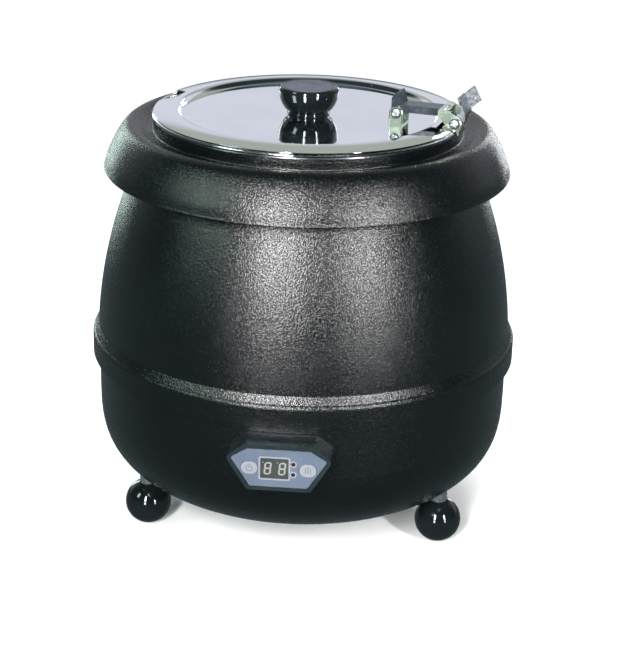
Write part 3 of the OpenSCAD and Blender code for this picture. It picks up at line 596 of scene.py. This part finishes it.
choose = middle("set_button")
choose_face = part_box("set_button")[0].y
arch_r = 1.9 * MM
arch = [(choose.x - arch_r, choose.z - 2.6 * MM),
        (choose.x - arch_r, choose.z + 0.8 * MM),
        *arc(choose.x, choose.z + 0.8 * MM, arch_r, math.pi, 0, 12),
        (choose.x + arch_r, choose.z - 2.6 * MM)]
post = [(choose.x, choose.z + rise * MM) for rise in (-2.0, 0, 0.9)]
printed("set_mark", [(stroke(arch, 0.45 * MM), None), (stroke(post, 0.7 * MM), None)],
        "print_grey", "set_button", face=choose_face)

# ---------- softened edges ----------

def weld(node):
    """Joins the doubled corners of a carried-over node, so that its edges can be worked on."""
    node.modifiers.new("joined", "WELD").merge_threshold = 0.002 * MM


for name, width in (("panel_box", 0.7 * MM), ("panel_overlay", 0.12 * MM),
                    ("power_button", 0.35 * MM), ("set_button", 0.35 * MM)):
    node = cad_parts[name]
    weld(node)
    rounded = node.modifiers.new("soft_edges", "BEVEL")
    rounded.width = width
    rounded.segments = 3
    rounded.limit_method = "ANGLE"
    rounded.angle_limit = math.radians(40)
    rounded.use_clamp_overlap = True
    rounded.harden_normals = False

for name in ("lid_bracket", "arm_clevis", "clip_bracket", "link_arm", "clip_finger"):
    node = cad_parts[name]
    weld(node)
    node.modifiers.new("crisp", "EDGE_SPLIT").split_angle = math.radians(28)

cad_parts["clip_finger"].data.materials[0] = looks["tab_steel"]
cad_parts["foot_spacers"].data.materials[0] = looks["zinc"]

# ---------- pin ends, the painted shade rings round them, and the rolled rims of the ears ---

PIN_R = 2.4 * MM
PIN_STEPS = 48
BEAD_R = 5.2 * MM
BEAD = 0.32 * MM
BEAD_STEPS = 28
BEAD_SIDES = 10


def across_mesh(path, center, side):
    """An outline (radius, distance across) turned round a pin's own axis."""
    def place(r, d, a):
        return center + side * d * ACROSS + r * (math.cos(a) * ALONG + math.sin(a) * UP)
    return turned(path, place, PIN_STEPS)


def bead(center, side, face, start, end, legs):
    """A round bead on an ear's outer face, over its end and, where it has legs, down both edges."""
    mesh = bmesh.new()
    line = arc(0, 0, BEAD_R, math.radians(start), math.radians(end), BEAD_STEPS + 1)
    if legs:
        line = [(line[0][0], line[0][1] - legs), *line, (line[-1][0], line[-1][1] - legs)]
    rings = []
    for i, (x, z) in enumerate(line):
        d = heading(line, i)
        out = -d.y * ALONG + d.x * UP
        at = center + side * face * ACROSS + x * ALONG + z * UP
        turns = [2 * math.pi * k / BEAD_SIDES for k in range(BEAD_SIDES)]
        spokes = [math.cos(t) * out + math.sin(t) * side * ACROSS for t in turns]
        rings.append([mesh.verts.new(at + BEAD * spoke) for spoke in spokes])
    for one, two in zip(rings, rings[1:]):
        for k in range(BEAD_SIDES):
            n = (k + 1) % BEAD_SIDES
            mesh.faces.new((one[k], one[n], two[n], two[k]))
    mesh.faces.new(rings[0])
    mesh.faces.new(rings[-1])
    return mesh


def pin_half_length(name):
    """Half of a pin's length across the hinge, worked out from its box."""
    low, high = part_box(name)
    return ((high.y - low.y) / 2 - PIN_R * abs(ALONG.y)) / ACROSS.y


# face is the ear's outer face, and rim is where its bead starts and ends, in degrees, and its legs
for name, center, body, face, rim in (("lid_pin", pin_in, "lid", 9.8 * MM, (0, 180, 8.0 * MM)),
                                      ("clip_pin", pin_out, "arm", 14.0 * MM, (-150, 70, 0))):
    reach = max(pin_half_length(name), face)
    sunk, proud = face - 0.02 * MM, face + 0.06 * MM
    # a thin near-black ring round each pin head, standing just proud of the ear's face: painted shade in
    # place of the shadow in the hole round the pin
    shade_ring_in, shade_ring_out = PIN_R + 0.9 * MM, PIN_R + 1.9 * MM
    painted_shade_ring = [(shade_ring_in, sunk), (shade_ring_out, sunk), (shade_ring_out, proud), (shade_ring_in, proud)]
    head = [(0, face), (PIN_R + 0.8 * MM, face), (PIN_R + 0.85 * MM, reach + 0.15 * MM),
            (PIN_R + 0.4 * MM, reach + 0.45 * MM), (PIN_R * 0.5, reach + 0.62 * MM), (0, reach + 0.66 * MM)]
    for side, label in ((-1, "front"), (1, "back")):
        new_piece(name + "_recess_" + label, across_mesh(painted_shade_ring, center, side), "seal", body)
        new_piece(name + "_head_" + label, across_mesh(head, center, side), "zinc", body)
        edge_bead = bead(center, side, face, *rim)
        new_piece(name + "_rim_" + label, edge_bead, "polished_steel", body)


# ---------- studio ----------

FLOOR_R = 1.0
FLOOR_DROP = 0.2 * MM

disc = bmesh.new()
bmesh.ops.create_circle(disc, cap_ends=True, segments=128, radius=FLOOR_R)
floor = placed("floor", disc)
floor.location = (0, 0, -FLOOR_DROP)
floor_look = material("floor_paper", (0.90, 0.90, 0.90), 0.9)
tint(floor_look, noise(floor_look, 0.4, 2), (0.895, 0.895, 0.895), (0.91, 0.91, 0.91))
floor.data.materials.append(floor_look)

# The floor is paper that only the camera sees: it throws no light back up, so that black stays black.
floor.visible_glossy = False
floor.visible_diffuse = False
floor.visible_shadow = False

world = bpy.data.worlds.new("studio")
world.use_nodes = True
scene.world = world
tree = world.node_tree
where = tree.nodes.new("ShaderNodeTexCoord")
split = tree.nodes.new("ShaderNodeSeparateXYZ")
tree.links.new(where.outputs["Generated"], split.inputs["Vector"])

# the colour sockets of a Mix node, by place, because its names repeat
MIX_A, MIX_B, MIX_OUT = 6, 7, 2


def sky_share(axis, start, end):
    """0 to 1 as the view direction's part along an axis goes from start to end."""
    node = tree.nodes.new("ShaderNodeMapRange")
    node.interpolation_type = "SMOOTHSTEP"
    node.inputs["From Min"].default_value = start
    node.inputs["From Max"].default_value = end
    tree.links.new(split.outputs[axis], node.inputs["Value"])
    return node.outputs["Result"]


def sky_mix(share, low, high):
    """From low to high by the share. Each is a colour or another mix."""
    node = tree.nodes.new("ShaderNodeMix")
    node.data_type = "RGBA"
    tree.links.new(share, node.inputs["Factor"])
    for socket, color in ((node.inputs[MIX_A], low), (node.inputs[MIX_B], high)):
        if isinstance(color, tuple):
            socket.default_value = (*color, 1)
        else:
            tree.links.new(color, socket)
    return node.outputs[MIX_OUT]


# dim room in front, pale wall behind, soft ceiling, and dull grey below
back = sky_mix(sky_share("Z", 0.31, 0.42), (0.70, 0.715, 0.80), (0.42, 0.45, 0.40))
upper = sky_mix(sky_share("Y", 0.25, 0.62), (0.022, 0.036, 0.042), back)
upper = sky_mix(sky_share("Z", 0.80, 0.97), upper, (0.12, 0.14, 0.15))
whole = sky_mix(sky_share("Z", -0.02, 0.13), (0.135, 0.175, 0.185), upper)

# the camera sees a plain white backdrop, while the room lights the kettle and shows in its reflections
path = tree.nodes.new("ShaderNodeLightPath")
shown = sky_mix(path.outputs["Is Camera Ray"], whole, (1.0, 1.0, 1.0))
tree.links.new(shown, tree.nodes["Background"].inputs["Color"])

AIM = Vector((0, 0, 0.160))
CAMERA_TURN = math.radians(-85.2)
CAMERA_RISE = math.radians(21.44)
CAMERA_ROLL = math.radians(1.36)
CAMERA_DISTANCE = 1.5


def around(turn, rise, distance):
    """The point that far from the aim, at those angles in radians."""
    level = math.cos(rise)
    return AIM + distance * Vector((level * math.cos(turn), level * math.sin(turn), math.sin(rise)))


def towards_aim(place):
    return (AIM - place).to_track_quat("-Z", "Y")


def softbox(name, turn, rise, distance, width, height, power, color=(1, 1, 1)):
    """A rectangular soft light, turned that many degrees right of the camera and raised above the level."""
    data = bpy.data.lights.new(name, "AREA")
    data.shape = "RECTANGLE"
    data.size = width
    data.size_y = height
    data.energy = power
    data.color = color
    made = bpy.data.objects.new(name, data)
    made.location = around(CAMERA_TURN + math.radians(turn), math.radians(rise), distance)
    made.rotation_euler = towards_aim(made.location).to_euler()
    scene.collection.objects.link(made)
    return made


softbox("key_left", -15, 25, 2.4, 0.24, 0.95, 88)
softbox("key_right", 35, 21, 2.4, 0.20, 0.85, 58)
softbox("low_left", -15, 3, 2.4, 0.30, 0.5, 14)
softbox("low_right", 35, 3, 2.4, 0.26, 0.5, 9)
softbox("side_left", -60, 30, 2.4, 0.5, 0.8, 15, (0.78, 1, 0.90))
softbox("rim_right", 156, 6, 2.6, 0.3, 1.4, 8, (0.95, 0.98, 1))
softbox("rim_left", -150, 6, 2.6, 0.4, 1.4, 10, (0.80, 1, 0.92))
overhead = softbox("overhead", 180, 70, 2.8, 2.6, 2.6, 110)
overhead.visible_glossy = False

camera_data = bpy.data.cameras.new("camera")
camera_data.lens = 96.4
camera_data.sensor_width = 36
camera_data.shift_x = 0.0122
camera_data.shift_y = -0.0093
camera_data.clip_start = 0.05
camera_data.clip_end = 100
camera = bpy.data.objects.new("camera", camera_data)
camera.location = around(CAMERA_TURN, CAMERA_RISE, CAMERA_DISTANCE)
looking = towards_aim(camera.location).to_matrix().to_4x4()
camera.matrix_world = Matrix.Translation(camera.location) @ looking @ Matrix.Rotation(CAMERA_ROLL, 4, "Z")
scene.collection.objects.link(camera)
scene.camera = camera
